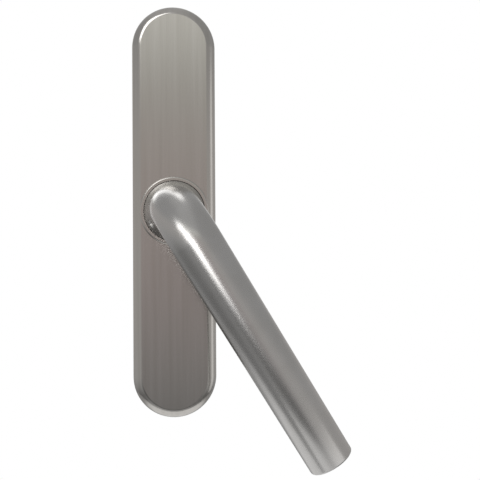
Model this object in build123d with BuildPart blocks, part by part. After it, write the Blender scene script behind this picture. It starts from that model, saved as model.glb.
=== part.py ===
from build123d import *
from math import atan, cos, pi, radians, sin, sqrt, tan
import os

os.makedirs("parts", exist_ok=True)

# A geared cremone window handle, in millimetres. X is to the right and Z up as one faces the
# handle, and Y runs into the window. The origin is on the lever's axis in the back plane, which
# rests on the sash. A depth is a distance in front of that plane.

# Cover plate
plate_width = 40.0
plate_length = 199.0
plate_depth = 10.0
cover_wall = 1.5
rim_radius = 4.5

# Collar ring and neck bush
collar_width = 1.6
collar_height = 1.7
collar_skirt_wall = 0.9
collar_groove = 0.35
collar_round = 0.75
bush_height = 2.1
bush_fit = 0.1

# Lever
lever_angle = 31.3
neck_foot_radius = 14.5
neck_radius = 11.0
grip_height = 50.7
bend_radius = 18.0
grip_end_radius = 10.1
grip_reach = 127.9
end_dome = 0.8
end_fillet = 0.9
neck_foot_fillet = 0.5
spigot_radius = 10.0
spigot_length = 1.5
journal_fit = 0.05
thrust_gap = 0.1
spring_thickness = 0.35
spring_clearance = 0.2

# Square spindle and grub screw
square_side = 7.0
square_fit = 0.1
spindle_depth = 30.0
spindle_chamfer = 0.7
socket_end_gap = 0.5
spindle_head_radius = 6.0
spindle_head_height = 1.5
grub_radius = 2.5
grub_length = 8.0
grub_height = 18.0
grub_cone = 1.25
grub_key = 2.5
grub_key_depth = 3.0

# Gear train
module_size = 1.5
pinion_teeth = 14
pressure_angle = 20.0
gear_width = 5.0
backlash = 0.16
rack_teeth = 7
rack_back = 3.1
rack_tooth_height = 1.2
journal_radius = 8.0
quarter_turn = 90.0
side_play = 0.1

# Drive pins
pin_radius = 4.0
pin_reach = 11.0
pin_shank_radius = 3.0
pin_chamfer = 0.8
arm_half_height = 6.0
arm_past_centre = 6.0
arm_corner = 1.5

# Detents
ball_radius = 1.25
ball_hole_depth = 5.2
ball_play = 0.05
dimple_depth = 0.4
dimple_slope = 45.0
spring_wire = 0.3
spring_turns = 3
spring_slack = 0.05

# Housing
housing_gap = 0.3
case_wall_gap = 0.1
case_floor = 2.1
pinion_gap = 0.6
pocket_corner = 1.0
end_wall = 2.2
rib_width = 1.6
boss_radius = 6.5
island_length = 10.4
island_gap = 0.2
end_gap = 0.5
bay_side_gap = 1.0
bay_wall = 2.5

# Retainer plate and its screws
retainer_thickness = 1.2
retainer_leg_width = 14.0
retainer_leg_inset = 0.7
retainer_ear_height = 10.0
retainer_ear_lap = 1.2
retainer_fit = 0.15
retainer_corner = 1.5
retainer_screw_radius = 1.45
retainer_screw_shank = 1.3
retainer_thread_start = 1.8
retainer_screw_head = 2.7
retainer_screw_length = 5.8
retainer_key = 2.0
retainer_key_depth = 0.8

# Fixing screws
fixing_spacing = 164.0
fixing_radius = 2.5
fixing_shank = 2.2
fixing_thread_start = 9.5
fixing_head = 4.6
fixing_length = 25.0
fixing_hole = 2.65
fixing_key = 3.0
fixing_key_depth = 1.8

# Cover clips
clip_case_gap = 3.0
clip_width = 8.0
clip_thickness = 0.4
clip_outer_leg = 6.0
clip_inner_leg = 5.0
clip_fit = 0.1
clip_bump = 0.35
clip_bump_depth = 3.9

# Depths that follow from the sizes above
housing_depth = plate_depth - cover_wall
case_depth = housing_depth - case_floor
gear_back = retainer_thickness + side_play
gear_middle = gear_back + gear_width / 2
gear_front = gear_back + gear_width
bush_top = housing_depth + bush_height
neck_foot = bush_top + thrust_gap
spigot_foot = neck_foot - spigot_length
journal_top = spigot_foot - 2 * thrust_gap
bend_foot = grip_height - bend_radius

# Radii and half widths that follow
pitch_radius = module_size * pinion_teeth / 2
tooth_pitch = pi * module_size
rack_root = pitch_radius + 1.25 * module_size
rack_tip = pitch_radius - rack_tooth_height
rack_outer = rack_root + rack_back
channel_outer = rack_outer + case_wall_gap
channel_inner = rack_tip - island_gap
pinion_tip = pitch_radius + module_size
pinion_root = pitch_radius - 1.25 * module_size
pocket_radius = pinion_tip + pinion_gap
groove_radius = neck_foot_radius + collar_groove
collar_radius = groove_radius + collar_width
cover_hole_radius = groove_radius + collar_skirt_wall + bush_fit
housing_width = plate_width - 2 * cover_wall - 2 * housing_gap
housing_length = plate_length - 2 * cover_wall - 2 * housing_gap
housing_half = housing_width / 2

# Travel of the racks from the lever's modelled place
shut_travel = pitch_radius * radians(lever_angle)
open_travel = pitch_radius * radians(quarter_turn - lever_angle)

# Heights above the lever's axis
rack_foot = -(rack_teeth // 2 + 0.5) * tooth_pitch
rack_bar_top = rack_foot + (rack_teeth + 0.5) * tooth_pitch
bay_near = pocket_radius + island_length
pin_height = bay_near + end_gap + open_travel + arm_half_height
bay_far = pin_height + arm_half_height + shut_travel + end_gap
case_wall = bay_far + bay_wall
channel_end = open_travel - rack_foot + end_gap
ball_height = (rack_bar_top + pin_height - arm_half_height) / 2
retainer_screw_height = pocket_radius + island_length / 2
clip_height = case_wall + clip_case_gap + clip_width / 2

# Directions of the lever as it is modelled
grip_direction = Vector(sin(radians(lever_angle)), 0, -cos(radians(lever_angle)))
grub_direction = Vector(-cos(radians(lever_angle)), 0, -sin(radians(lever_angle)))
lever_side = Plane(origin=(0, 0, 0), x_dir=grip_direction, z_dir=grub_direction)


def front(depth):
    """The plane that faces the room at a depth, with X and Z as its own axes."""
    return Plane.XZ.offset(depth)


def back(depth):
    """The same plane seen from the window, with its normal into the sash."""
    return Plane(origin=(0, -depth, 0), x_dir=(-1, 0, 0), z_dir=(0, 1, 0))


def save(part, name):
    part.label = name
    export_step(part, f"parts/{name}.step")


def stadium_block(length, width, depth, rim):
    """A plate with round ends and a rounded front rim."""
    with BuildPart() as block:
        with BuildSketch(front(0)):
            SlotOverall(length, width, rotation=90)
        extrude(amount=depth)
        fillet(block.faces().sort_by(Axis.Y)[0].edges(), rim)
    return block.part


def turned(points):
    """A solid turned about the lever's axis from (radius, depth) corners."""
    with BuildPart() as solid:
        with BuildSketch(lever_side):
            with BuildLine():
                Polyline(*points, close=True)
            make_face()
        revolve(axis=Axis.Y)
    return solid.part


# The pressed cover, open at the back
cover_outside = stadium_block(plate_length, plate_width, plate_depth, rim_radius)
cover_inside = stadium_block(
    plate_length - 2 * cover_wall, plate_width - 2 * cover_wall, housing_depth, rim_radius - cover_wall
)
with BuildPart() as cover_plate:
    add(cover_outside)
    add(cover_inside, mode=Mode.SUBTRACT)
    with BuildSketch(front(0)):
        Circle(cover_hole_radius)
    extrude(amount=plate_depth, mode=Mode.SUBTRACT)
save(cover_plate.part, "cover_plate")

# The collar ring: a round-topped flange on the cover and a skirt down to the housing
collar_top = plate_depth + collar_height
collar_blank = turned(
    [
        (groove_radius, housing_depth),
        (groove_radius + collar_skirt_wall, housing_depth),
        (groove_radius + collar_skirt_wall, plate_depth),
        (collar_radius, plate_depth),
        (collar_radius, collar_top),
        (groove_radius, collar_top),
    ]
)
with BuildPart() as collar_ring:
    add(collar_blank)
    fillet(collar_ring.faces().sort_by(Axis.Y)[0].edges(), collar_round)
save(collar_ring.part, "collar_ring")

# The plastic bush between housing and neck
bush = turned(
    [
        (spigot_radius + journal_fit, housing_depth),
        (groove_radius - bush_fit, housing_depth),
        (groove_radius - bush_fit, bush_top),
        (spigot_radius + journal_fit, bush_top),
    ]
)
save(bush, "neck_bush")

# The disc spring: a cone of thin strip round the pinion's journal
spring_inner = journal_radius + spring_clearance
spring_outer = spigot_radius - spring_clearance
spring_top = spigot_foot - journal_fit
disc_spring = turned(
    [
        (spring_inner, spring_top - spring_thickness),
        (spring_outer, housing_depth),
        (spring_outer, housing_depth + spring_thickness),
        (spring_inner, spring_top),
    ]
)
save(disc_spring, "disc_spring")

# The lever: a flared neck, a bend and a tapering grip with a domed end
with BuildPart() as lever:
    with BuildSketch(lever_side) as neck_half:
        with BuildLine():
            Polyline(
                (0, bend_foot),
                (0, spigot_foot),
                (spigot_radius, spigot_foot),
                (spigot_radius, neck_foot),
                (neck_foot_radius, neck_foot),
            )
            TangentArc((neck_radius, bend_foot), (neck_foot_radius, neck_foot), tangent=(0, -1))
            Line((neck_radius, bend_foot), (0, bend_foot))
        make_face()
        fillet(neck_half.vertices().sort_by(Axis.X)[-1], neck_foot_fillet)
    revolve(axis=Axis.Y)
    with BuildSketch(front(bend_foot)):
        Circle(neck_radius)
    bend_centre = grip_direction * bend_radius + Vector(0, -bend_foot, 0)
    revolve(axis=Axis(bend_centre, -grub_direction), revolution_arc=90)
    with BuildSketch(lever_side) as grip_half:
        with BuildLine():
            Line((bend_radius, grip_height), (bend_radius, grip_height + neck_radius))
            Line((bend_radius, grip_height + neck_radius), (grip_reach, grip_height + grip_end_radius))
            TangentArc(
                (grip_reach + end_dome, grip_height),
                (grip_reach, grip_height + grip_end_radius),
                tangent=(0, 1),
            )
            Line((grip_reach + end_dome, grip_height), (bend_radius, grip_height))
        make_face()
        fillet(grip_half.vertices().sort_by(lambda corner: corner.X + corner.Y)[-1], end_fillet)
    revolve(axis=Axis(Vector(0, -grip_height, 0), grip_direction))
    with BuildSketch(front(spigot_foot)):
        Rectangle(square_side + square_fit, square_side + square_fit, rotation=lever_angle)
    extrude(amount=spindle_depth + socket_end_gap - spigot_foot, mode=Mode.SUBTRACT)
    with BuildSketch(Plane(origin=(0, -grub_height, 0), z_dir=grub_direction)):
        Circle(grub_radius)
    extrude(amount=neck_foot_radius, mode=Mode.SUBTRACT)
save(lever.part, "lever")


# The set screw in the side of the neck, with a cone point on the spindle's flat
grub_point = grub_direction * (square_side / 2) + Vector(0, -grub_height, 0)
grub_plane = Plane(origin=grub_point, x_dir=(0, -1, 0), z_dir=grub_direction)
with BuildPart() as grub_screw:
    with BuildSketch(grub_plane):
        Circle(grub_radius - journal_fit)
    extrude(amount=grub_length)
    chamfer(grub_screw.faces().sort_by(Axis((0, 0, 0), grub_direction))[0].edges(), grub_cone)
    with BuildSketch(grub_plane.offset(grub_length)):
        RegularPolygon(grub_key / 2, 6, major_radius=False)
    extrude(amount=-grub_key_depth, mode=Mode.SUBTRACT)
save(grub_screw.part, "grub_screw")

# The square spindle with its round head behind the pinion
with BuildPart() as spindle:
    with BuildSketch(front(gear_back)):
        Circle(spindle_head_radius)
    extrude(amount=spindle_head_height)
    with BuildSketch(front(gear_back)):
        Rectangle(square_side, square_side, rotation=lever_angle)
    extrude(amount=spindle_depth - gear_back)
    chamfer(spindle.faces().sort_by(Axis.Y)[0].edges(), spindle_chamfer)
save(spindle.part, "spindle")


# Involute teeth for the pinion
base_radius = pitch_radius * cos(radians(pressure_angle))


def involute_angle(radius):
    """How far an involute has turned from its foot when it reaches a radius."""
    roll = sqrt((radius / base_radius) ** 2 - 1)
    return roll - atan(roll)


tooth_half_angle = (tooth_pitch - backlash) / (2 * pitch_radius) / 2 + involute_angle(pitch_radius)


def flank(tooth_angle, side):
    """The four points of a tooth's flank, from its foot on the base circle out to its tip."""
    points = []
    for step in range(4):
        radius = base_radius + (pinion_tip - base_radius) * step / 3
        angle = tooth_angle + side * (tooth_half_angle - involute_angle(radius))
        points.append((radius * cos(angle), radius * sin(angle)))
    return points


def on_circle(radius, angle):
    return (radius * cos(angle), radius * sin(angle))


with BuildPart() as pinion:
    with BuildSketch(front(gear_back)):
        with BuildLine():
            for tooth in range(pinion_teeth):
                tooth_angle = 2 * pi * tooth / pinion_teeth
                next_angle = 2 * pi * (tooth + 1) / pinion_teeth
                rising = flank(tooth_angle, -1)
                falling = flank(tooth_angle, 1)
                foot_angle = tooth_angle + tooth_half_angle
                next_foot_angle = next_angle - tooth_half_angle
                Line(on_circle(pinion_root, tooth_angle - tooth_half_angle), rising[0])
                Spline(*rising)
                ThreePointArc(rising[-1], on_circle(pinion_tip, tooth_angle), falling[-1])
                Spline(*falling)
                Line(falling[0], on_circle(pinion_root, foot_angle))
                ThreePointArc(
                    on_circle(pinion_root, foot_angle),
                    on_circle(pinion_root, (foot_angle + next_foot_angle) / 2),
                    on_circle(pinion_root, next_foot_angle),
                )
        make_face()
    extrude(amount=gear_width)
    with BuildSketch(front(gear_front)):
        Circle(journal_radius)
    extrude(amount=journal_top - gear_front)
    with BuildSketch(front(gear_back)):
        Circle(spindle_head_radius + square_fit)
    extrude(amount=spindle_head_height, mode=Mode.SUBTRACT)
    with BuildSketch(front(gear_back)):
        Rectangle(square_side + square_fit, square_side + square_fit, rotation=lever_angle)
    extrude(amount=journal_top - gear_back, mode=Mode.SUBTRACT)
save(pinion.part, "pinion")


# The racks. The lower one is the upper one turned half round the lever's axis.
def rack_profile(turn):
    """The corners of a rack, with turn 1 for the upper and -1 for the lower."""
    slope = tan(radians(pressure_angle))
    root_half = tooth_pitch / 4 + (rack_root - pitch_radius) * slope
    tip_half = tooth_pitch / 4 - rack_tooth_height * slope
    corners = [(-rack_outer, rack_foot), (-rack_root, rack_foot)]
    for tooth in range(rack_teeth):
        middle = (tooth - rack_teeth // 2 + 0.5) * tooth_pitch
        corners += [
            (-rack_root, middle - root_half),
            (-rack_tip, middle - tip_half),
            (-rack_tip, middle + tip_half),
            (-rack_root, middle + root_half),
        ]
    corners += [
        (-rack_root, rack_bar_top),
        (-rack_tip, rack_bar_top),
        (-rack_tip, pin_height - arm_half_height),
        (arm_past_centre, pin_height - arm_half_height),
        (arm_past_centre, pin_height + arm_half_height),
        (-rack_outer, pin_height + arm_half_height),
    ]
    return [(turn * x, turn * z) for x, z in corners]


def rack(turn):
    with BuildPart() as bar:
        with BuildSketch(front(gear_back)) as outline:
            with BuildLine():
                Polyline(*rack_profile(turn), close=True)
            make_face()
            fillet(outline.vertices().sort_by(lambda corner: turn * corner.Y)[-2:], arm_corner)
        extrude(amount=gear_width)
        with Locations(front(gear_front)):
            with Locations((0, turn * pin_height)):
                Hole(pin_shank_radius)
        ball_mouth = (-turn * rack_outer, -gear_middle, turn * ball_height)
        with BuildSketch(Plane(origin=ball_mouth, z_dir=(turn, 0, 0))):
            Circle(ball_radius + ball_play)
        extrude(amount=ball_hole_depth, mode=Mode.SUBTRACT)
    return bar.part


def drive_pin(turn):
    """A pin with a shank in the rack's arm and a plain end that reaches behind the handle."""
    with BuildPart() as pin:
        with BuildSketch(back(gear_back)):
            with Locations((0, turn * pin_height)):
                Circle(pin_radius)
        extrude(amount=gear_back + pin_reach)
        chamfer(pin.faces().sort_by(Axis.Y)[-1].edges(), pin_chamfer)
        with BuildSketch(front(gear_back)):
            with Locations((0, turn * pin_height)):
                Circle(pin_shank_radius - journal_fit / 2)
        extrude(amount=gear_width)
    return pin.part


def detent_ball(turn):
    with BuildPart() as ball:
        ball_centre = rack_outer + ball_play - ball_radius
        with Locations((-turn * ball_centre, -gear_middle, turn * ball_height)):
            Sphere(ball_radius)
    return ball.part


def detent_spring(turn):
    """A small coil of square wire from the hole's floor to the ball."""
    coil_radius = ball_radius - spring_wire / 2 - ball_play
    floor = rack_outer - ball_hole_depth + spring_wire / 2 + spring_slack
    reach = ball_radius - sqrt(ball_radius**2 - coil_radius**2)
    height = ball_hole_depth - 2 * ball_radius + reach - 2 * spring_slack - spring_wire
    with BuildPart() as coil:
        with BuildLine() as path:
            Helix(
                pitch=height / spring_turns,
                height=height,
                radius=coil_radius,
                center=(-turn * floor, -gear_middle, turn * ball_height),
                direction=(-turn, 0, 0),
            )
        with BuildSketch(Plane(origin=path.line @ 0, z_dir=path.line % 0)):
            Rectangle(spring_wire, spring_wire)
        sweep(is_frenet=True)
    return coil.part


for turn, place in ((1, "upper"), (-1, "lower")):
    save(rack(turn), f"{place}_rack")
    save(drive_pin(turn), f"{place}_drive_pin")
    save(detent_ball(turn), f"{place}_detent_ball")
    save(detent_spring(turn), f"{place}_detent_spring")


# The housing: a stadium casting, open at the back
housing_rim = rim_radius - cover_wall + housing_gap
housing_blank = stadium_block(housing_length, housing_width, housing_depth, housing_rim)
channel_middle = (channel_inner + channel_outer) / 2
bay_right = arm_past_centre + bay_side_gap
retainer_half = channel_outer + retainer_ear_lap
clip_relief = clip_thickness + 2 * clip_fit
clip_slot_width = clip_width + 2 * housing_gap
with BuildPart() as housing:
    add(housing_blank)

    # Gear case: a round pocket for the pinion, two channels for the racks and two bays for their arms
    with BuildSketch(front(0)):
        Circle(pocket_radius)
        for turn in (1, -1):
            with Locations((-turn * channel_middle, turn * (bay_far - channel_end) / 2)):
                Rectangle(channel_outer - channel_inner, bay_far + channel_end)
            with Locations((turn * (bay_right - channel_outer) / 2, turn * (bay_near + bay_far) / 2)):
                Rectangle(bay_right + channel_outer, bay_far - bay_near)
    extrude(amount=case_depth, mode=Mode.SUBTRACT)

    # Cored-out pockets beside the bays
    with BuildSketch(front(0)) as side_pockets:
        pocket_foot = channel_end + end_wall
        for turn in (1, -1):
            with Locations((turn * channel_middle, turn * (pocket_foot + bay_far) / 2)):
                Rectangle(channel_outer - channel_inner, bay_far - pocket_foot)
        fillet(side_pockets.vertices(), pocket_corner)
    extrude(amount=case_depth, mode=Mode.SUBTRACT)

    # End pockets, with a boss for each fixing screw and ribs to the walls
    with BuildSketch(front(0)):
        SlotOverall(housing_length - 2 * end_wall, housing_width - 2 * end_wall, rotation=90)
        Rectangle(housing_width, 2 * case_wall, mode=Mode.SUBTRACT)
        with Locations((0, fixing_spacing / 2), (0, -fixing_spacing / 2)):
            Circle(boss_radius, mode=Mode.SUBTRACT)
            Rectangle(housing_width, rib_width, mode=Mode.SUBTRACT)
        Rectangle(rib_width, housing_length, mode=Mode.SUBTRACT)
    extrude(amount=case_depth, mode=Mode.SUBTRACT)

    # Bearing for the pinion's journal
    with BuildSketch(front(0)):
        Circle(journal_radius + journal_fit)
    extrude(amount=housing_depth, mode=Mode.SUBTRACT)

    # Countersunk holes for the fixing screws, from the front
    with Locations(front(housing_depth)):
        with Locations((0, fixing_spacing / 2), (0, -fixing_spacing / 2)):
            CounterSinkHole(fixing_hole, fixing_head + side_play)

    # Recess for the retainer plate, and its tapped holes
    with BuildSketch(front(0)):
        Rectangle(retainer_leg_width + 2 * retainer_fit, 2 * bay_near)
        Rectangle(2 * (retainer_half + retainer_fit), retainer_ear_height + 2 * retainer_fit)
    extrude(amount=retainer_thickness, mode=Mode.SUBTRACT)
    with BuildSketch(front(0)):
        with Locations((0, retainer_screw_height), (0, -retainer_screw_height)):
            Circle(retainer_screw_radius + journal_fit)
    extrude(amount=retainer_screw_length + retainer_fit, mode=Mode.SUBTRACT)

    # Dimples in the channel walls, where the detent balls click in
    dimple_radius = sqrt(ball_radius**2 - (ball_radius - dimple_depth) ** 2)
    for turn in (1, -1):
        for travel in (shut_travel, -open_travel):
            dimple_place = (-turn * channel_outer, -gear_middle, turn * (ball_height + travel))
            with BuildSketch(Plane(origin=dimple_place, z_dir=(-turn, 0, 0))):
                Circle(dimple_radius)
            extrude(amount=dimple_depth, taper=dimple_slope, mode=Mode.SUBTRACT)

    # Notches for the cover clips, which straddle the side walls
    for side in (1, -1):
        for height in (clip_height, -clip_height):
            with BuildSketch(front(0)):
                with Locations((side * (housing_half - clip_relief / 2), height)):
                    Rectangle(clip_relief, clip_slot_width)
            extrude(amount=clip_outer_leg + 2 * clip_fit, mode=Mode.SUBTRACT)
            with BuildSketch(front(0)):
                with Locations((side * (housing_half - end_wall / 2), height)):
                    Rectangle(end_wall, clip_slot_width)
            extrude(amount=clip_relief, mode=Mode.SUBTRACT)
save(housing.part, "housing")

# The cross-shaped retainer plate, flush with the housing's back
with BuildPart() as retainer_plate:
    with BuildSketch(front(0)) as cross:
        Rectangle(retainer_leg_width, 2 * (bay_near - retainer_leg_inset))
        Rectangle(2 * retainer_half, retainer_ear_height)
        fillet(cross.vertices(), retainer_corner)
    extrude(amount=retainer_thickness)
    with Locations(back(0)):
        with Locations((0, retainer_screw_height), (0, -retainer_screw_height)):
            CounterSinkHole(
                retainer_screw_radius + retainer_fit, retainer_screw_head + retainer_fit
            )
save(retainer_plate.part, "retainer_plate")


def countersunk_screw(seat, head_radius, shank_radius, radius, thread_start, length, key, key_depth):
    """A screw whose head lies in the seat plane, with a thinner shank between head and thread."""
    side = Plane(origin=seat.origin, x_dir=seat.x_dir, z_dir=seat.y_dir)
    point = radius / 3
    with BuildPart() as screw:
        with BuildSketch(side):
            with BuildLine():
                Polyline(
                    (0, 0),
                    (head_radius, 0),
                    (shank_radius, head_radius - shank_radius),
                    (shank_radius, thread_start),
                    (radius, thread_start + radius - shank_radius),
                    (radius, length - point),
                    (radius - point, length),
                    (0, length),
                    close=True,
                )
            make_face()
        revolve(axis=Axis(seat.origin, seat.z_dir))
        with BuildSketch(seat):
            RegularPolygon(key / 2, 6, major_radius=False)
        extrude(amount=-key_depth, mode=Mode.SUBTRACT)
    return screw.part


def screw_pair(seats, *sizes):
    screws = [countersunk_screw(seat, *sizes) for seat in seats]
    with BuildPart() as pair:
        for screw in screws:
            add(screw)
    return pair.part


retainer_seats = [
    Plane(origin=(0, 0, height), x_dir=(-1, 0, 0), z_dir=(0, 1, 0))
    for height in (retainer_screw_height, -retainer_screw_height)
]
retainer_screws = screw_pair(
    retainer_seats,
    retainer_screw_head,
    retainer_screw_shank,
    retainer_screw_radius,
    retainer_thread_start,
    retainer_screw_length,
    retainer_key,
    retainer_key_depth,
)
save(retainer_screws, "retainer_screws")

fixing_seats = [
    Plane(origin=(0, side_play - housing_depth, height), x_dir=(1, 0, 0), z_dir=(0, -1, 0))
    for height in (fixing_spacing / 2, -fixing_spacing / 2)
]
fixing_screws = screw_pair(
    fixing_seats,
    fixing_head,
    fixing_shank,
    fixing_radius,
    fixing_thread_start,
    fixing_length,
    fixing_key,
    fixing_key_depth,
)
save(fixing_screws, "fixing_screws")


# The cover clips: spring strips bent over the housing's side walls, with a bump that grips the cover
def clip_profile(side):
    outer = housing_half - clip_fit
    inner = housing_half - end_wall - clip_fit - clip_thickness
    bend = clip_fit + clip_thickness
    corners = [
        (inner, clip_fit),
        (outer, clip_fit),
        (outer, clip_bump_depth - 2 * clip_bump),
        (outer + clip_bump, clip_bump_depth),
        (outer, clip_bump_depth + 2 * clip_bump),
        (outer, clip_outer_leg),
        (outer - clip_thickness, clip_outer_leg),
        (outer - clip_thickness, bend),
        (inner + clip_thickness, bend),
        (inner + clip_thickness, clip_inner_leg),
        (inner, clip_inner_leg),
    ]
    return [(side * x, -depth) for x, depth in corners]


with BuildPart() as cover_clips:
    for side in (1, -1):
        for height in (clip_height, -clip_height):
            with BuildSketch(Plane.XY.offset(height - clip_width / 2)):
                with BuildLine():
                    Polyline(*clip_profile(side), close=True)
                make_face()
            extrude(amount=clip_width)
save(cover_clips.part, "cover_clips")
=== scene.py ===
from math import acos, asin, cos, pi, radians, sin, tan

import bmesh
import bpy
from mathutils import Matrix, Quaternion, Vector


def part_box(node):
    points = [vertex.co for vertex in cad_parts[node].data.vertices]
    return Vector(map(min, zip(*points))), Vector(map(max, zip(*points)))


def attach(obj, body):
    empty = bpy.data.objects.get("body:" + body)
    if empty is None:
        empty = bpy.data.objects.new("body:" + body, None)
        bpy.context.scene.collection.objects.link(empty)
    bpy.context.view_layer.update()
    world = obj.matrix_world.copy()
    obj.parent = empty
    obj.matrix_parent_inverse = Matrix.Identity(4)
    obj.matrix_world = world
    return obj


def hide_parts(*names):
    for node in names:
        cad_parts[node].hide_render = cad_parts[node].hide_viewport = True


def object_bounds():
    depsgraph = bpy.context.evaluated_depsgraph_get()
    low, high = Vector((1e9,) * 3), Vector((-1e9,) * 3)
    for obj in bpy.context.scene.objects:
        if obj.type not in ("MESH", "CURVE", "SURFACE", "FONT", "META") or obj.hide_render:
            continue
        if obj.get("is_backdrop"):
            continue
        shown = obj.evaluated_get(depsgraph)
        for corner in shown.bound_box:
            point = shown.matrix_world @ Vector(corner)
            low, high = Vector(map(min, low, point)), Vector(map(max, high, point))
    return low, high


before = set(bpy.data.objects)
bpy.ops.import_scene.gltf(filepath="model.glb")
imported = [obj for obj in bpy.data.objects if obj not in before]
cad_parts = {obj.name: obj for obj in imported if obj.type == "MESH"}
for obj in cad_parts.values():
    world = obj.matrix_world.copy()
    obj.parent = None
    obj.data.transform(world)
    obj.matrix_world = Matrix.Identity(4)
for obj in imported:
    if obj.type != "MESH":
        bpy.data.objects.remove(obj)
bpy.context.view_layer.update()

# A geared cremone window handle. Lengths are in millimetres and are turned into metres where a
# mesh is made. A depth is a distance in front of the back plane, which is y = 0.
MM = 0.001

# Cover plate and collar
PLATE_WIDTH, PLATE_LENGTH, PLATE_DEPTH = 40.0, 199.0, 10.0
COVER_WALL, RIM_RADIUS, RIM_SQUARENESS, BACK_CHAMFER = 1.5, 4.5, 1.6, 0.3
HOUSING_DEPTH = PLATE_DEPTH - COVER_WALL
COLLAR_RADIUS, COLLAR_TOP, COLLAR_ROUND = 16.45, 11.7, 0.75
COLLAR_LIP_RADIUS, COLLAR_LIP_FOOT, COLLAR_LIP_ROUND = 14.62, 10.66, 0.08
GROOVE_RADIUS, SKIRT_RADIUS, COVER_HOLE_RADIUS = 14.85, 15.75, 15.85

# Lever
LEVER_ANGLE = radians(31.3)
SPIGOT_RADIUS, SPIGOT_FOOT, SPIGOT_CHAMFER = 10.0, 9.2, 0.3
NECK_FOOT, NECK_FOOT_RADIUS, NECK_FOOT_FILLET, NECK_RADIUS = 10.7, 14.5, 0.3, 11.0
NECK_FLARE_FOOT = 11.65
BEND_FOOT, BEND_RADIUS = 32.7, 18.0
GRIP_HEIGHT = BEND_FOOT + BEND_RADIUS
GRIP_REACH, GRIP_END_RADIUS, END_DOME, END_FILLET = 127.9, 10.1, 0.8, 0.9
SOCKET_SIDE, SOCKET_DEPTH = 7.1, 30.5
GRUB_HEIGHT, GRUB_RADIUS, GRUB_LENGTH, GRUB_TIP = 18.0, 2.5, 8.0, 3.5

# Screws behind the cover: how far each pair is apart, and the depth of its heads' tops
FIXING_SPACING, FIXING_TOP = 164.0, 8.4
RETAINER_SPACING, RETAINER_TOP = 35.6, 0.0

# Directions of the lever as it is modelled, with the grip's length and the side of its set screw
GRIP_WAY = Vector((sin(LEVER_ANGLE), 0, -cos(LEVER_ANGLE)))
GRUB_WAY = Vector((-cos(LEVER_ANGLE), 0, -sin(LEVER_ANGLE)))
OUTWARD = Vector((0, -1, 0))


# Meshes


def mesh_object(name, mesh):
    thing = bpy.data.objects.new(name, mesh)
    bpy.context.scene.collection.objects.link(thing)
    return thing


def skin(name, rings, ends="points"):
    """A closed surface over rings of equally many points.

    The ends close in a fan to their middle ("points"), in one flat face ("faces"), or onto each
    other ("loop").
    """
    count = len(rings[0])
    shape = bmesh.new()
    rows = [[shape.verts.new(point * MM) for point in ring] for ring in rings]
    pairs = list(zip(rows, rows[1:]))
    if ends == "loop":
        pairs.append((rows[-1], rows[0]))
    for low, high in pairs:
        for i in range(count):
            j = (i + 1) % count
            shape.faces.new((low[i], low[j], high[j], high[i]))
    for row, ring in ((rows[0], rings[0]), (rows[-1], rings[-1])):
        if ends == "faces":
            shape.faces.new(row)
        elif ends == "points":
            middle = shape.verts.new(sum(ring, Vector()) / count * MM)
            for i in range(count):
                shape.faces.new((row[i], row[(i + 1) % count], middle))
    bmesh.ops.recalc_face_normals(shape, faces=shape.faces)
    mesh = bpy.data.meshes.new(name)
    shape.to_mesh(mesh)
    shape.free()
    return mesh_object(name, mesh)


def circle(radius, centre=Vector(), across=Vector((1, 0, 0)), up=Vector((0, 0, 1)), count=96):
    angles = [2 * pi * i / count for i in range(count)]
    return [centre + radius * (cos(a) * across + sin(a) * up) for a in angles]


def polygon(apothem, sides, centre, across, up, count=96):
    """A regular polygon with as many points as a circle, so that one can follow the other."""
    points = []
    for i in range(count):
        angle = 2 * pi * i / count
        from_flat = (angle + pi / sides) % (2 * pi / sides) - pi / sides
        radius = apothem / cos(from_flat)
        points.append(centre + radius * (cos(angle) * across + sin(angle) * up))
    return points


def turned(name, profile, count=128):
    """A ring turned about the lever's axis from a closed profile of (radius, depth) points."""
    return skin(name, [circle(r, OUTWARD * d, count=count) for r, d in profile], ends="loop")


def rounded(before, corner, after, radius, steps=6):
    """The points of a fillet between two straight runs of a profile."""
    a, b, c = Vector(before), Vector(corner), Vector(after)
    to_a, to_c = (a - b).normalized(), (c - b).normalized()
    half = acos(max(-1, min(1, to_a.dot(to_c)))) / 2
    centre = b + (to_a + to_c).normalized() * radius / sin(half)
    start, end = b + to_a * radius / tan(half) - centre, b + to_c * radius / tan(half) - centre
    sweep = pi - 2 * half
    points = []
    for i in range(steps + 1):
        share = i / steps
        point = (start * sin((1 - share) * sweep) + end * sin(share * sweep)) / sin(sweep)
        points.append(tuple(centre + point))
    return points


def shaded(thing, sharp_angle=30):
    """Smooth shading, with the sharp edges kept and the flats left flat."""
    for face in thing.data.polygons:
        face.use_smooth = True
    thing.data.set_sharp_from_angle(angle=radians(sharp_angle))
    weighted = thing.modifiers.new("flat_faces_first", "WEIGHTED_NORMAL")
    weighted.keep_sharp = True
    weighted.weight = 100
    return thing


def bevelled(thing, width, segments=2, angle=35):
    """Breaks the sharp edges by a width in millimetres."""
    edge = thing.modifiers.new("edge_break", "BEVEL")
    edge.width = width * MM
    edge.segments = segments
    edge.limit_method = "ANGLE"
    edge.angle_limit = radians(angle)
    edge.use_clamp_overlap = True
    return thing


def cut(thing, *cutters):
    """Takes the cutters out of a thing and applies the result."""
    for cutter in cutters:
        knife = thing.modifiers.new("cut", "BOOLEAN")
        knife.operation = "DIFFERENCE"
        knife.solver = "EXACT"
        knife.object = cutter
    applied(thing)
    for cutter in cutters:
        bpy.data.objects.remove(cutter)
    return thing


def applied(thing):
    """Makes what the modifiers show the thing's own plain mesh."""
    depsgraph = bpy.context.evaluated_depsgraph_get()
    mesh = bpy.data.meshes.new_from_object(thing.evaluated_get(depsgraph))
    thing.modifiers.clear()
    thing.data = mesh
    return thing


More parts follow.
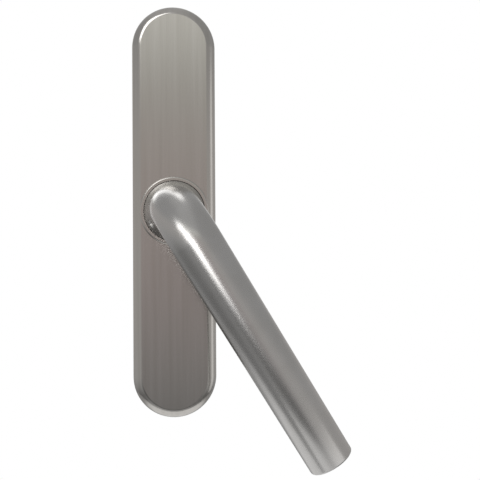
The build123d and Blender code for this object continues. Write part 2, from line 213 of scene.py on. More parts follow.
def merged_copy(node, name):
    """A clean copy of a CAD node, with its triangles joined and its flat faces made one."""
    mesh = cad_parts[node].data.copy()
    shape = bmesh.new()
    shape.from_mesh(mesh)
    bmesh.ops.remove_doubles(shape, verts=shape.verts, dist=0.001 * MM)
    bmesh.ops.dissolve_limit(
        shape, angle_limit=radians(1), verts=shape.verts, edges=shape.edges, delimit={"NORMAL"}
    )
    shape.to_mesh(mesh)
    shape.free()
    mesh.materials.clear()
    return mesh_object(name, mesh)


def finished(thing, material, body, node):
    """Gives a piece its material, sets it on the body that it rides on and hides the CAD node that
    it stands for.
    """
    thing.data.materials.clear()
    thing.data.materials.append(material)
    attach(thing, body)
    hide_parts(node)
    return thing


# Materials


class Finish:
    """A metal or plastic made of nodes, on Object coordinates in metres."""

    def __init__(self, name, colour, roughness, metallic=1.0):
        self.material = bpy.data.materials.new(name)
        self.material.use_nodes = True
        self.tree = self.material.node_tree
        self.shader = self.tree.nodes["Principled BSDF"]
        self.shader.inputs["Base Color"].default_value = (*colour, 1)
        self.shader.inputs["Roughness"].default_value = roughness
        self.shader.inputs["Metallic"].default_value = metallic
        self.place = self.tree.nodes.new("ShaderNodeTexCoord").outputs["Object"]

    def link(self, start, end):
        self.tree.links.new(start, end)

    def noise(self, size, detail=2.0, stretch=(1, 1, 1), turn=(0, 0, 0)):
        """A noise whose grains are about size millimetres, stretched along an axis."""
        mapping = self.tree.nodes.new("ShaderNodeMapping")
        mapping.inputs["Rotation"].default_value = turn
        mapping.inputs["Scale"].default_value = [1 / (size * MM * s) for s in stretch]
        self.link(self.place, mapping.inputs["Vector"])
        texture = self.tree.nodes.new("ShaderNodeTexNoise")
        texture.inputs["Scale"].default_value = 1.0
        texture.inputs["Detail"].default_value = detail
        self.link(mapping.outputs["Vector"], texture.inputs["Vector"])
        return texture.outputs["Fac"]

    def spread(self, value, low, high, of=(0.3, 0.7)):
        """Maps a noise onto a range."""
        node = self.tree.nodes.new("ShaderNodeMapRange")
        node.inputs["From Min"].default_value = of[0]
        node.inputs["From Max"].default_value = of[1]
        node.inputs["To Min"].default_value = low
        node.inputs["To Max"].default_value = high
        self.link(value, node.inputs["Value"])
        return node.outputs["Result"]

    def tint(self, value, dark, light):
        """Mixes two colours by a noise into the base colour."""
        mix = self.tree.nodes.new("ShaderNodeMix")
        mix.data_type = "RGBA"
        self.link(self.spread(value, 0, 1), mix.inputs["Factor"])
        mix.inputs["A"].default_value = (*dark, 1)
        mix.inputs["B"].default_value = (*light, 1)
        self.link(mix.outputs["Result"], self.shader.inputs["Base Color"])

    def rough(self, value, low, high):
        self.link(self.spread(value, low, high), self.shader.inputs["Roughness"])

    def bump(self, *layers):
        """Adds bumps in order, each a (value, height in millimetres)."""
        normal = None
        for value, height in layers:
            node = self.tree.nodes.new("ShaderNodeBump")
            node.inputs["Distance"].default_value = height * MM
            self.link(value, node.inputs["Height"])
            if normal:
                self.link(normal, node.inputs["Normal"])
            normal = node.outputs["Normal"]
        self.link(normal, self.shader.inputs["Normal"])


def cover_metal():
    """Satin nickel on the plate, brushed from end to end."""
    finish = Finish("cover_metal", (0.56, 0.54, 0.51), 0.2)
    lines = finish.noise(0.45, detail=3, stretch=(1, 1, 160))
    streaks = finish.noise(2.2, detail=2, stretch=(1, 1, 40))
    finish.tint(streaks, (0.53, 0.51, 0.48), (0.58, 0.56, 0.535))
    finish.rough(lines, 0.15, 0.21)
    finish.bump((lines, 0.010))
    return finish.material


def lever_metal():
    """Satin nickel on the lever, smoother than the plate and with a faint grain."""
    finish = Finish("lever_metal", (0.57, 0.56, 0.55), 0.29)
    grain = finish.noise(0.5, detail=3)
    cloud = finish.noise(9.0, detail=2)
    finish.tint(cloud, (0.555, 0.545, 0.53), (0.585, 0.575, 0.565))
    finish.rough(grain, 0.25, 0.29)
    finish.bump((grain, 0.0003))
    return finish.material


def collar_metal():
    """Satin nickel on the turned collar."""
    finish = Finish("collar_metal", (0.57, 0.55, 0.52), 0.2)
    grain = finish.noise(0.4, detail=3)
    finish.tint(grain, (0.55, 0.53, 0.50), (0.59, 0.57, 0.54))
    finish.rough(grain, 0.17, 0.23)
    finish.bump((grain, 0.003))
    return finish.material


def cast_metal():
    """The grey skin of a zinc die casting, with its flow marks."""
    finish = Finish("cast_metal", (0.42, 0.42, 0.41), 0.5)
    flow = finish.noise(6.0, detail=4, stretch=(1, 1, 2))
    skin_grain = finish.noise(0.35, detail=2)
    finish.tint(flow, (0.36, 0.365, 0.36), (0.47, 0.47, 0.46))
    finish.rough(flow, 0.42, 0.58)
    finish.bump((flow, 0.03), (skin_grain, 0.012))
    return finish.material


def plate_steel():
    """Zinc-plated strip, with rolling lines."""
    finish = Finish("plate_steel", (0.62, 0.63, 0.64), 0.3)
    lines = finish.noise(0.3, detail=2, stretch=(1, 1, 60))
    cloud = finish.noise(4.0, detail=3)
    finish.tint(cloud, (0.56, 0.58, 0.60), (0.67, 0.675, 0.67))
    finish.rough(cloud, 0.22, 0.38)
    finish.bump((lines, 0.006))
    return finish.material


def gear_steel():
    """Machined steel, patchily darkened by a film of oil."""
    finish = Finish("gear_steel", (0.47, 0.46, 0.45), 0.32)
    lines = finish.noise(0.25, detail=2, stretch=(30, 1, 1))
    cloud = finish.noise(3.0, detail=3)
    finish.tint(cloud, (0.38, 0.37, 0.355), (0.52, 0.51, 0.50))
    finish.rough(cloud, 0.2, 0.42)
    finish.bump((lines, 0.006))
    return finish.material


def spring_steel():
    """Dark spring steel."""
    finish = Finish("spring_steel", (0.34, 0.33, 0.32), 0.3)
    cloud = finish.noise(2.0, detail=3)
    finish.tint(cloud, (0.27, 0.26, 0.255), (0.40, 0.39, 0.375))
    finish.rough(cloud, 0.22, 0.36)
    finish.bump((cloud, 0.004))
    return finish.material


def screw_steel():
    """Bright plated steel, of the screws and the detent balls."""
    finish = Finish("screw_steel", (0.60, 0.60, 0.60), 0.28)
    cloud = finish.noise(1.2, detail=3)
    finish.tint(cloud, (0.52, 0.52, 0.52), (0.65, 0.65, 0.64))
    finish.rough(cloud, 0.2, 0.36)
    finish.bump((cloud, 0.004))
    return finish.material


def bush_plastic():
    """Dark acetal, slightly waxy."""
    finish = Finish("bush_plastic", (0.05, 0.05, 0.05), 0.42, metallic=0.0)
    cloud = finish.noise(2.5, detail=2)
    finish.tint(cloud, (0.042, 0.042, 0.043), (0.058, 0.058, 0.057))
    finish.rough(cloud, 0.36, 0.5)
    finish.bump((cloud, 0.006))
    return finish.material


MATERIALS = {
    make.__name__: make()
    for make in (
        cover_metal,
        lever_metal,
        collar_metal,
        cast_metal,
        plate_steel,
        gear_steel,
        spring_steel,
        screw_steel,
        bush_plastic,
    )
}


# The cover plate


def stadium(inset, depth, steps=48):
    """The plate's outline, moved in by an inset, at a depth."""
    radius = PLATE_WIDTH / 2 - inset
    straight = (PLATE_LENGTH - PLATE_WIDTH) / 2
    points = []
    for end in (1, -1):
        for i in range(steps + 1):
            angle = pi * i / steps
            x = end * radius * cos(angle)
            z = end * (straight + radius * sin(angle))
            points.append(Vector((x, -depth, z)))
    return points


def rim_rows(radius, inset, top, steps=16):
    """Rows over the rim, from the flat out to the side wall: a bevel that is rounded into both."""
    rows = []
    for i in range(steps + 1):
        angle = pi / 2 * i / steps
        out, down = (abs(f(angle)) ** (2 / RIM_SQUARENESS) for f in (sin, cos))
        rows.append((inset + radius * (1 - out), top - radius * (1 - down)))
    return rows


def cover_plate():
    """The pressed shell, open at the back, with the hole for the collar."""
    outside = rim_rows(RIM_RADIUS, 0, PLATE_DEPTH)
    inside = rim_rows(RIM_RADIUS - COVER_WALL, COVER_WALL, HOUSING_DEPTH)
    back_edge = [(0, BACK_CHAMFER), (BACK_CHAMFER, 0), (COVER_WALL, 0)]
    rows = outside + back_edge + inside[::-1]
    plate = skin("cover_shell", [stadium(*row) for row in rows], ends="faces")
    hole = skin(
        "hole",
        [circle(COVER_HOLE_RADIUS, OUTWARD * depth, count=128) for depth in (-5, PLATE_DEPTH + 5)],
    )
    return shaded(cut(plate, hole))


cover = cover_plate()
finished(cover, MATERIALS["cover_metal"], "frame", "cover_plate")


# The collar, which is turned


def collar_profile():
    """(radius, depth) round the collar: bore, lip, rounded top and the skirt in the hole."""
    top_inner, top_outer = (COLLAR_LIP_RADIUS, COLLAR_TOP), (COLLAR_RADIUS, COLLAR_TOP)
    lip_foot, foot_outer = (COLLAR_LIP_RADIUS, COLLAR_LIP_FOOT), (COLLAR_RADIUS, PLATE_DEPTH)
    return [
        (GROOVE_RADIUS, HOUSING_DEPTH),
        (GROOVE_RADIUS, COLLAR_LIP_FOOT),
        lip_foot,
        *rounded(lip_foot, top_inner, top_outer, COLLAR_LIP_ROUND, steps=4),
        *rounded(top_inner, top_outer, foot_outer, COLLAR_ROUND, steps=8),
        foot_outer,
        (SKIRT_RADIUS, PLATE_DEPTH),
        (SKIRT_RADIUS, HOUSING_DEPTH),
    ]


collar = shaded(turned("collar", collar_profile()))
finished(collar, MATERIALS["collar_metal"], "frame", "collar_ring")


# The lever


def neck_rows():
    """(radius, depth) from the spigot's end, round the foot and up to the bend."""
    height, spread = BEND_FOOT - NECK_FLARE_FOOT, NECK_FOOT_RADIUS - NECK_RADIUS
    flare = (height**2 + spread**2) / (2 * spread)
    rise = asin(height / flare)
    steps = 20
    arc = []
    for i in range(steps + 1):
        angle = rise * (1 - i / steps)
        arc.append((NECK_RADIUS + flare * (1 - cos(angle)), BEND_FOOT - flare * sin(angle)))
    foot = rounded(
        (SPIGOT_RADIUS, NECK_FOOT), (NECK_FOOT_RADIUS, NECK_FOOT), arc[0], NECK_FOOT_FILLET
    )
    spigot = [
        (SPIGOT_RADIUS - SPIGOT_CHAMFER, SPIGOT_FOOT),
        (SPIGOT_RADIUS, SPIGOT_FOOT + SPIGOT_CHAMFER),
        (SPIGOT_RADIUS, NECK_FOOT),
    ]
    return spigot + foot + arc


def end_rows():
    """(radius, reach) along the grip and over its domed end."""
    dome = (GRIP_END_RADIUS**2 + END_DOME**2) / (2 * END_DOME)
    spread = asin(GRIP_END_RADIUS / dome)
    steps = 12
    arc = []
    for i in range(steps):
        angle = spread * (1 - i / steps)
        arc.append((dome * sin(angle), GRIP_REACH + END_DOME - dome * (1 - cos(angle))))
    start = (NECK_RADIUS, BEND_RADIUS)
    rows = []
    grip_steps = 24
    for i in range(1, grip_steps):
        share = i / grip_steps
        rows.append(
            (
                NECK_RADIUS + (GRIP_END_RADIUS - NECK_RADIUS) * share,
                BEND_RADIUS + (GRIP_REACH - BEND_RADIUS) * share,
            )
        )
    return rows + rounded(start, arc[0], arc[1], END_FILLET, steps=8) + arc[2:]


def lever_rings():
    """Rings from the spigot's end up the neck, round the bend and along the grip."""
    count = 96
    rings = []
    for radius, depth in neck_rows():
        rings.append(circle(radius, OUTWARD * depth, GRIP_WAY, GRUB_WAY, count))
    bend_centre = GRIP_WAY * BEND_RADIUS + OUTWARD * BEND_FOOT
    steps = 32
    for i in range(1, steps + 1):
        angle = pi / 2 * i / steps
        outer = GRIP_WAY * -cos(angle) + OUTWARD * sin(angle)
        middle = bend_centre + outer * BEND_RADIUS
        rings.append(circle(NECK_RADIUS, middle, -outer, GRUB_WAY, count))
    for radius, reach in end_rows():
        middle = GRIP_WAY * reach + OUTWARD * GRIP_HEIGHT
        rings.append(circle(radius, middle, -OUTWARD, GRUB_WAY, count))
    return rings


def lever_shape():
    """The lever, with the spindle's square socket and the hole of the grub screw."""
    lever = skin("satin_lever", lever_rings())
    socket = skin(
        "socket",
        [
            polygon(SOCKET_SIDE / 2, 4, OUTWARD * depth, GRIP_WAY, GRUB_WAY, 16)
            for depth in (SPIGOT_FOOT - 5, SOCKET_DEPTH)
        ],
        ends="faces",
    )
    grub_hole = skin(
        "grub_hole",
        [
            circle(GRUB_RADIUS, OUTWARD * GRUB_HEIGHT + GRUB_WAY * reach, OUTWARD, GRIP_WAY, 48)
            for reach in (0, 20)
        ],
    )
    return shaded(cut(lever, socket, grub_hole))


lever = lever_shape()
finished(lever, MATERIALS["lever_metal"], "lever", "lever")


# Screws and springs, which Geometry Nodes thread, wind and set on their seats


class Growth:
    """A Geometry Nodes tree that works on seat points, with named inputs for its sizes."""

    def __init__(self, name, **sizes):
        self.tree = bpy.data.node_groups.new(name, "GeometryNodeTree")
        face = self.tree.interface
        face.new_socket("Shape", in_out="OUTPUT", socket_type="NodeSocketGeometry")
        sizes = {"seats": "Geometry", **sizes, "way": "Vector", "finish": "Material"}
        for size, kind in sizes.items():
            face.new_socket(size, in_out="INPUT", socket_type=f"NodeSocket{kind}")
        self.sizes = self.tree.nodes.new("NodeGroupInput").outputs

    def node(self, kind, values, **settings):
        """Adds a node, with a link or a plain value for each named input."""
        node = self.tree.nodes.new(kind)
        for name, setting in settings.items():
            setattr(node, name, setting)
        for name, value in values.items():
            if isinstance(value, bpy.types.NodeSocket):
                self.tree.links.new(value, node.inputs[name])
            else:
                node.inputs[name].default_value = value
        return node.outputs

    def work(self, operation, *values, **settings):
        """The result of an operation on sockets and plain values."""
        values = dict(enumerate(values))
        return self.node("ShaderNodeMath", values, operation=operation, **settings)[0]

    def set_out(self, shape):
        """Puts the shape on every seat, turned to its way, and ends the tree."""
        turn = self.node(
            "FunctionNodeAlignRotationToVector", {"Vector": self.sizes["way"]}, axis="Z"
        )
        placed = self.node(
            "GeometryNodeInstanceOnPoints",
            {"Points": self.sizes["seats"], "Instance": shape, "Rotation": turn[0]},
        )
        real = self.node("GeometryNodeRealizeInstances", {"Geometry": placed[0]})
        made = self.node(
            "GeometryNodeSetMaterial", {"Geometry": real[0], "Material": self.sizes["finish"]}
        )
        self.tree.links.new(made[0], self.tree.nodes.new("NodeGroupOutput").inputs[0])
        return self.tree


def thread_cutter():
    """Cuts a V thread into the rows of a turned blank that points along +Z."""
    growth = Growth(
        "thread_cutter", blank="Object", pitch="Float", depth="Float", start="Float", end="Float"
    )
    sizes, work = growth.sizes, growth.work
    blank = growth.node("GeometryNodeObjectInfo", {"Object": sizes["blank"]})["Geometry"]
    place = growth.node("GeometryNodeInputPosition", {})[0]
    x, y, z = growth.node("ShaderNodeSeparateXYZ", {0: place})
    turns = work("DIVIDE", work("ARCTAN2", y, x), 2 * pi)
    phase = work("FRACT", work("SUBTRACT", work("DIVIDE", z, sizes["pitch"]), turns))
    valley = work("ABSOLUTE", work("MULTIPLY_ADD", phase, 2.0, -1.0))
    since_start = work("SUBTRACT", z, sizes["start"])
    till_end = work("SUBTRACT", sizes["end"], z)
    fade_in = work("DIVIDE", since_start, sizes["pitch"], use_clamp=True)
    fade_out = work("DIVIDE", till_end, sizes["pitch"], use_clamp=True)
    cut_depth = work("MULTIPLY", work("MULTIPLY", fade_in, fade_out), sizes["depth"])
    inward = work("MULTIPLY", work("MULTIPLY", cut_depth, valley), -1.0)
    flat = growth.node("ShaderNodeCombineXYZ", {0: x, 1: y, 2: 0.0})[0]
    out = growth.node("ShaderNodeVectorMath", {0: flat}, operation="NORMALIZE")[0]
    shift = growth.node("ShaderNodeVectorMath", {0: out, "Scale": inward}, operation="SCALE")[0]
    cut_blank = growth.node("GeometryNodeSetPosition", {"Geometry": blank, "Offset": shift})[0]
    return growth.set_out(cut_blank)


def coil_winder():
    """Winds round wire into a spring that stands on its seat."""
    growth = Growth("coil_winder", wire="Float", coil="Float", height="Float", turns="Float")
    sizes = growth.sizes
    path = growth.node(
        "GeometryNodeCurveSpiral",
        {
            "Resolution": 28,
            "Rotations": sizes["turns"],
            "Start Radius": sizes["coil"],
            "End Radius": sizes["coil"],
            "Height": sizes["height"],
        },
    )[0]
    section = growth.node(
        "GeometryNodeCurvePrimitiveCircle", {"Resolution": 12, "Radius": sizes["wire"]}
    )[0]
    wire = growth.node(
        "GeometryNodeCurveToMesh", {"Curve": path, "Profile Curve": section, "Fill Caps": True}
    )[0]
    return growth.set_out(wire)


def grown(name, tree, seats, **sizes):
    """The plain mesh that a tree makes on its seats, given in millimetres."""
    mesh = bpy.data.meshes.new(name)
    mesh.from_pydata([seat * MM for seat in seats], [], [])
    thing = mesh_object(name, mesh)
    maker = thing.modifiers.new(tree.name, "NODES")
    maker.node_group = tree
    for socket in tree.interface.items_tree:
        if socket.name in sizes:
            maker[socket.identifier] = sizes[socket.name]
    return applied(thing)


def screw_blank(rows, key, key_depth, count=24):
    """A turned blank along +Z with a hexagonal key hole, from (radius, height) rows."""
    hexagon = [
        polygon(key / 2, 6, Vector((0, 0, height)), Vector((1, 0, 0)), Vector((0, 1, 0)), count)
        for height in (key_depth, 0.1, 0)
    ]
    hexagon[2] = [point * (1 + 0.2 / key) for point in hexagon[2]]
    rings = [
        circle(radius, Vector((0, 0, height)), Vector((1, 0, 0)), Vector((0, 1, 0)), count)
        for radius, height in rows
    ]
    return skin("blank", hexagon + rings)


def threaded(name, seats, way, head_rows, tip_rows, radius, pitch, start, key, key_depth):
    """Screws from their seats along a way, with the thread between a start and the tip."""
    end = tip_rows[0][1]
    steps = int((end - start) / pitch * 6)
    shank = [(radius, start + (end - start) * i / steps) for i in range(1, steps)]
    blank = screw_blank(head_rows + shank + tip_rows, key, key_depth)
    screws = grown(
        name,
        THREAD_CUTTER,
        seats,
        blank=blank,
        pitch=pitch * MM,
        depth=0.54 * pitch * MM,
        start=start * MM,
        end=end * MM,
        way=way,
        finish=MATERIALS["screw_steel"],
    )
    bpy.data.objects.remove(blank)
    return screws


def countersunk(name, seats, way, head, shank, radius, pitch, start, length, key, key_depth):
    """Countersunk screws: head, thinner shank and threaded end."""
    point = radius / 3
    head_rows = [
        (head - 0.15, 0),
        (head, 0.1),
        (head - 0.1, 0.25),
        (shank + 0.1, head - shank - 0.05),
        (shank, head - shank + 0.15),
        (shank, start - 0.05),
        (radius, start + radius - shank),
    ]
    tip_rows = [
        (radius, length - point),
        (radius - 0.9 * point, length - 0.1),
        (radius - point, length),
    ]
    thread_start = start + radius - shank
    return threaded(
        name, seats, way, head_rows, tip_rows, radius, pitch, thread_start, key, key_depth
    )


THREAD_CUTTER, COIL_WINDER = thread_cutter(), coil_winder()

fixing_screws = countersunk(
    "threaded_fixing_screws",
    [Vector((0, -FIXING_TOP, side * FIXING_SPACING / 2)) for side in (1, -1)],
    way=(0, 1, 0),
    head=4.6,
    shank=2.2,
    radius=2.5,
    pitch=0.8,
    start=9.5,
    length=25.0,
    key=3.0,
    key_depth=1.8,
)
retainer_screws = countersunk(
    "threaded_retainer_screws",
    [Vector((0, -RETAINER_TOP, side * RETAINER_SPACING / 2)) for side in (1, -1)],
    way=(0, -1, 0),
    head=2.7,
    shank=1.3,
    radius=1.45,
    pitch=0.5,
    start=1.8,
    length=5.8,
    key=2.0,
    key_depth=0.8,
)
grub_screw = threaded(
    "threaded_grub_screw",
    [OUTWARD * GRUB_HEIGHT + GRUB_WAY * (GRUB_TIP + GRUB_LENGTH)],
    way=-GRUB_WAY,
    head_rows=[(2.25, 0), (2.45, 0.2)],
    tip_rows=[(2.45, GRUB_LENGTH - 1.25), (1.2, GRUB_LENGTH)],
    radius=2.45,
    pitch=0.8,
    start=0.2,
    key=2.5,
    key_depth=3.0,
)
for screws, body, node in (
    (fixing_screws, "frame", "fixing_screws"),
    (retainer_screws, "frame", "retainer_screws"),
    (grub_screw, "lever", "grub_screw"),
):
    finished(shaded(screws, 40), MATERIALS["screw_steel"], body, node)

# The detent springs stand in their holes from the floor to the ball, on either side
SPRING_WIRE, SPRING_TURNS = 0.3, 3.75
for place, side in (("upper", -1), ("lower", 1)):
    low, high = (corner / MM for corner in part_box(f"{place}_detent_spring"))
    floor = low.x if side > 0 else high.x
    seat = Vector((floor + side * SPRING_WIRE / 2, (low.y + high.y) / 2, (low.z + high.z) / 2))
    spring = grown(
        f"{place}_detent_coil",
        COIL_WINDER,
        [seat],
        wire=SPRING_WIRE / 2 * MM,
        coil=((high.z - low.z - SPRING_WIRE) / 2) * MM,
        height=(high.x - low.x - SPRING_WIRE) * MM,
        turns=SPRING_TURNS,
        way=(side, 0, 0),
        finish=MATERIALS["spring_steel"],
    )
    node = f"{place}_detent_spring"
    finished(shaded(spring, 60), MATERIALS["spring_steel"], f"{place}_slide", node)


# The other CAD parts, each with its body, its material and the width of its broken edges
DRESSED = (
    ("neck_bush", "frame", "bush_plastic", 0.15),
    ("disc_spring", "frame", "spring_steel", 0.0),
    ("spindle", "lever", "plate_steel", 0.15),
    ("pinion", "lever", "gear_steel", 0.08),
    ("upper_rack", "upper_slide", "gear_steel", 0.12),
    ("lower_rack", "lower_slide", "gear_steel", 0.12),
    ("upper_drive_pin", "upper_slide", "plate_steel", 0.12),
    ("lower_drive_pin", "lower_slide", "plate_steel", 0.12),
    ("upper_detent_ball", "upper_slide", "screw_steel", 0.0),
    ("lower_detent_ball", "lower_slide", "screw_steel", 0.0),
    ("housing", "frame", "cast_metal", 0.2),
    ("retainer_plate", "frame", "plate_steel", 0.12),
    ("cover_clips", "frame", "spring_steel", 0.05),
)
for node, body, finish, edge in DRESSED:
    piece = merged_copy(node, f"{node}_part")
    if edge:
        bevelled(piece, edge)
    finished(shaded(piece), MATERIALS[finish], body, node)


# Camera, as the photograph was taken: focal length in pixels of a 480-pixel frame
FRAME_PIXELS, FOCAL_PIXELS = 480, 700
EYE = Vector((-0.14, -346.89, -17.81))
YAW, PITCH, ROLL = radians(5.37), radians(0.65), radians(-0.34)


def photo_camera():
    data = bpy.data.cameras.new("photo_camera")
    data.sensor_width = 36.0
    data.lens = data.sensor_width * FOCAL_PIXELS / FRAME_PIXELS
    data.clip_start, data.clip_end = 0.01, 10
    camera = mesh_object("photo_camera", data)
    turn = (
        Matrix.Rotation(-YAW, 4, "Z")
        @ Matrix.Rotation(pi / 2 + PITCH, 4, "X")
        @ Matrix.Rotation(ROLL, 4, "Z")
    )
    camera.matrix_world = Matrix.Translation(EYE * MM) @ turn
    bpy.context.scene.camera = camera


photo_camera()


# Studio, in metres: the places that the lamps face, on the lever's grip and at its end
LIT_PLACE, GRIP_END_PLACE = Vector((0.03, -0.05, -0.04)), Vector((0.062, -0.05, -0.108))
NEAR_LAMP, LAMP, FAR_LAMP = 0.08, 0.33, 1.0


def panel(
    name, azimuth, elevation, width, height, radiance, distance=LAMP, place=LIT_PLACE, roll=0
):
    """A soft light that faces a place from a distance.

    It stands so many degrees to the right of the front and above level, and looks so many degrees
    wide and high from there.
    """
    turn, rise = radians(azimuth), radians(elevation)
    way = Vector((sin(turn) * cos(rise), -cos(turn) * cos(rise), sin(rise)))
    data = bpy.data.lights.new(name, "AREA")
    data.shape = "RECTANGLE"
    data.size = 2 * distance * tan(radians(width) / 2)
    data.size_y = 2 * distance * tan(radians(height) / 2)
    data.energy = radiance * pi * data.size * data.size_y
    light = mesh_object(name, data)
    light.location = place + way * distance
    light.rotation_mode = "QUATERNION"
    light.rotation_quaternion = Quaternion(way, radians(roll)) @ way.to_track_quat("Z", "Y")
    light.visible_camera = False
    return light


def light_only(name, lit, lamps):
    """Lets the lamps light no pieces but the ones given."""
    receivers = bpy.data.collections.new(name)
    for piece in lit:
        receivers.objects.link(piece)
    for lamp in lamps:
        lamp.light_linking.receiver_collection = receivers


light_only(
    "lever_lights",
    [lever],
    [
        panel("streak_light", -18, -3, 20, 16, 3.5),
        panel("neck_light", -31, 8, 20, 18, 2.7),
        panel("bend_light", -47, 19, 18, 16, 2.4),
        panel(
            "end_light", 17, -25, 104, 34, 0.5, distance=NEAR_LAMP, place=GRIP_END_PLACE, roll=28
        ),
    ],
)
light_only("crown_lights", [lever, collar], [panel("crown_light", -149, 52, 16, 66, 1.4)])
light_only(
    "cover_lights",
    [cover, collar],
    [
        panel("ridge_light", -34, 43, 32, 30, 2.2, distance=FAR_LAMP),
        panel("side_light", 84, -8, 24, 56, 0.38, distance=FAR_LAMP),
    ],
)


class StudioNodes:
    """The kinds of node that the room and the floor both need."""

    def __init__(self, tree):
        self.new, self.link = tree.nodes.new, tree.links.new

    def joined(self, operation, *values):
        """The result of an operation on sockets and plain values."""
        node = self.new("ShaderNodeMath")
        node.operation = operation
        for socket, value in zip(node.inputs, values):
            if isinstance(value, bpy.types.NodeSocket):
                self.link(value, socket)
            else:
                socket.default_value = value
        return node.outputs["Value"]

    def eased(self, value, start, end, first=0.0, last=1.0):
        """Goes smoothly from first to last while a value goes from start to end."""
        fade = self.new("ShaderNodeMapRange")
        fade.interpolation_type = "SMOOTHSTEP"
        for socket, number in zip(fade.inputs[1:5], (start, end, first, last)):
            socket.default_value = number
        self.link(value, fade.inputs["Value"])
        return fade.outputs["Result"]

    def camera_and_mirror(self):
        """1 for the rays of the camera, and 1 for those of glossy and clear surfaces."""
        ray = self.new("ShaderNodeLightPath").outputs
        return ray["Is Camera Ray"], self.joined(
            "MAXIMUM", ray["Is Glossy Ray"], ray["Is Transmission Ray"]
        )

    def mixed_colours(self, share, first):
        """A colour mix, whose second colour is still to be set."""
        mix = self.new("ShaderNodeMix")
        mix.data_type = "RGBA"
        self.link(share, mix.inputs["Factor"])
        self.link(first, mix.inputs["A"])
        return mix


# The room, by the unit direction of a ray. X is to the right, and Y is away from the camera. Where
# Y passes from the start to the end of the backdrop, mirrored rays come to see white.
BACKDROP_START, BACKDROP_END = 0.88, 0.97
ROOM_MIDDLE, WALLS_START, WALLS_END = -0.12, 0.2, 0.6

# Colours by the height of the direction, from -1 straight down to 1 straight up
ROOM_COLOURS = (
    (-0.95, (0.50, 0.50, 0.50)),
    (-0.60, (0.36, 0.36, 0.36)),
    (-0.46, (0.10, 0.10, 0.10)),
    (-0.36, (0.02, 0.02, 0.02)),
    (-0.217, (0.28, 0.28, 0.28)),
    (-0.05, (0.40, 0.355, 0.35)),
    (0.12, (0.485, 0.44, 0.425)),
    (0.23, (0.48, 0.475, 0.45)),
    (0.29, (0.70, 0.71, 0.67)),
    (0.35, (0.98, 0.98, 0.93)),
    (0.46, (0.45, 0.45, 0.45)),
    (0.95, (0.50, 0.50, 0.50)),
)
WALL_COLOURS = (
    (-0.95, (0.50, 0.50, 0.50)),
    (-0.66, (0.14, 0.14, 0.14)),
    (-0.54, (0.21, 0.21, 0.21)),
    (-0.42, (0.33, 0.33, 0.33)),
    (-0.25, (0.42, 0.42, 0.42)),
    (-0.08, (0.47, 0.46, 0.45)),
    (0.14, (0.49, 0.475, 0.465)),
    (0.32, (0.38, 0.38, 0.38)),
    (0.95, (0.38, 0.38, 0.38)),
)


def studio_world():
    """White for the camera and, behind the object, for mirrored rays, else a room with side walls.

    Both darken downwards in front of the object.
    """
    world = bpy.data.worlds.new("studio")
    bpy.context.scene.world = world
    world.use_nodes = True
    background = world.node_tree.nodes["Background"]
    background.inputs["Strength"].default_value = 1.0
    studio = StudioNodes(world.node_tree)
    new, link = studio.new, studio.link

    ways = new("ShaderNodeSeparateXYZ")
    link(new("ShaderNodeTexCoord").outputs["Generated"], ways.inputs["Vector"])
    height = new("ShaderNodeMapRange")
    height.inputs["From Min"].default_value = -1
    link(ways.outputs["Z"], height.inputs["Value"])

    def by_height(stops):
        ramp = new("ShaderNodeValToRGB")
        link(height.outputs["Result"], ramp.inputs["Fac"])
        colours = ramp.color_ramp.elements
        while len(colours) < len(stops):
            colours.new(0.5)
        for element, (z, colour) in zip(colours, stops):
            element.position = (z + 1) / 2
            element.color = (*colour, 1)
        return ramp.outputs["Color"]

    aside = studio.joined("ABSOLUTE", studio.joined("ADD", ways.outputs["X"], -ROOM_MIDDLE))
    sides = studio.eased(aside, WALLS_START, WALLS_END)
    around = studio.mixed_colours(sides, by_height(ROOM_COLOURS))
    link(by_height(WALL_COLOURS), around.inputs["B"])

    behind = studio.eased(ways.outputs["Y"], BACKDROP_START, BACKDROP_END)
    direct, mirrored = studio.camera_and_mirror()
    white = studio.joined("MAXIMUM", direct, studio.joined("MULTIPLY", mirrored, behind))
    mix = studio.mixed_colours(white, around.outputs["Result"])
    mix.inputs["B"].default_value = (1, 1, 1, 1)
    link(mix.outputs["Result"], background.inputs["Color"])


studio_world()

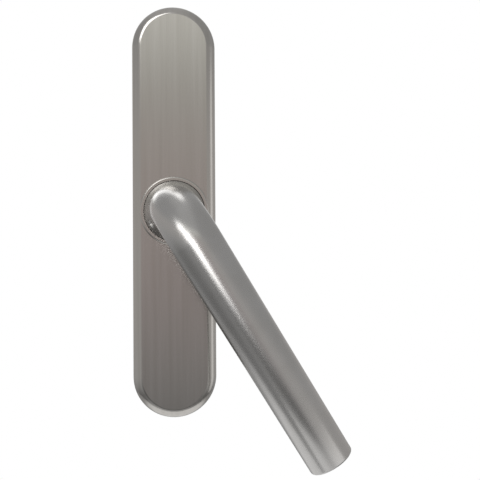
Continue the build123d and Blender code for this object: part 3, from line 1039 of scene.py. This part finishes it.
# The floor glows by a share, so that it looks pale and still takes a soft shadow. For the camera
# the share grows to 1 at its edge. For mirrored rays it falls to 0 away from beneath the handle.
FLOOR_RADIUS, FLOOR_PLACE, FLOOR_GLOW = 0.34, (0, 0.2, -0.3), 0.8
BENEATH_HANDLE = (0, -0.2, 0)
EDGE_FADE, MIRROR_FADE = (0.22, 0.31), (0.13, 0.25)


def pale_floor():
    """A round matt sheet well below the handle, which fades into the white round its edge."""
    floor = mesh_object("floor", bpy.data.meshes.new("floor"))
    corners = circle(FLOOR_RADIUS, up=Vector((0, 1, 0)))
    floor.data.from_pydata(corners, [], [range(len(corners))])
    floor.location = FLOOR_PLACE
    material = bpy.data.materials.new("floor_paper")
    material.use_nodes = True
    tree = material.node_tree
    studio = StudioNodes(tree)
    new, link = studio.new, studio.link
    paper = tree.nodes["Principled BSDF"]
    paper.inputs["Base Color"].default_value = (0.8, 0.8, 0.8, 1)
    paper.inputs["Roughness"].default_value = 0.9

    def glow(place, fade, far_share):
        """The share of glow, which changes with the distance on the sheet from a place on it."""
        reach = new("ShaderNodeVectorMath")
        reach.operation = "DISTANCE"
        link(new("ShaderNodeTexCoord").outputs["Object"], reach.inputs[0])
        reach.inputs[1].default_value = place
        return studio.eased(reach.outputs["Value"], *fade, FLOOR_GLOW, far_share)

    direct, mirrored = studio.camera_and_mirror()
    direct_share = studio.joined("MULTIPLY", direct, glow((0, 0, 0), EDGE_FADE, 1.0))
    mirror_share = studio.joined("MULTIPLY", mirrored, glow(BENEATH_HANDLE, MIRROR_FADE, 0.0))
    mix = new("ShaderNodeMixShader")
    link(studio.joined("MAXIMUM", direct_share, mirror_share), mix.inputs["Fac"])
    link(paper.outputs["BSDF"], mix.inputs[1])
    link(new("ShaderNodeEmission").outputs["Emission"], mix.inputs[2])
    link(mix.outputs["Shader"], tree.nodes["Material Output"].inputs["Surface"])
    floor.data.materials.append(material)
    floor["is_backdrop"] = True


pale_floor()

bpy.context.scene.view_settings.view_transform = "Standard"

low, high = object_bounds()
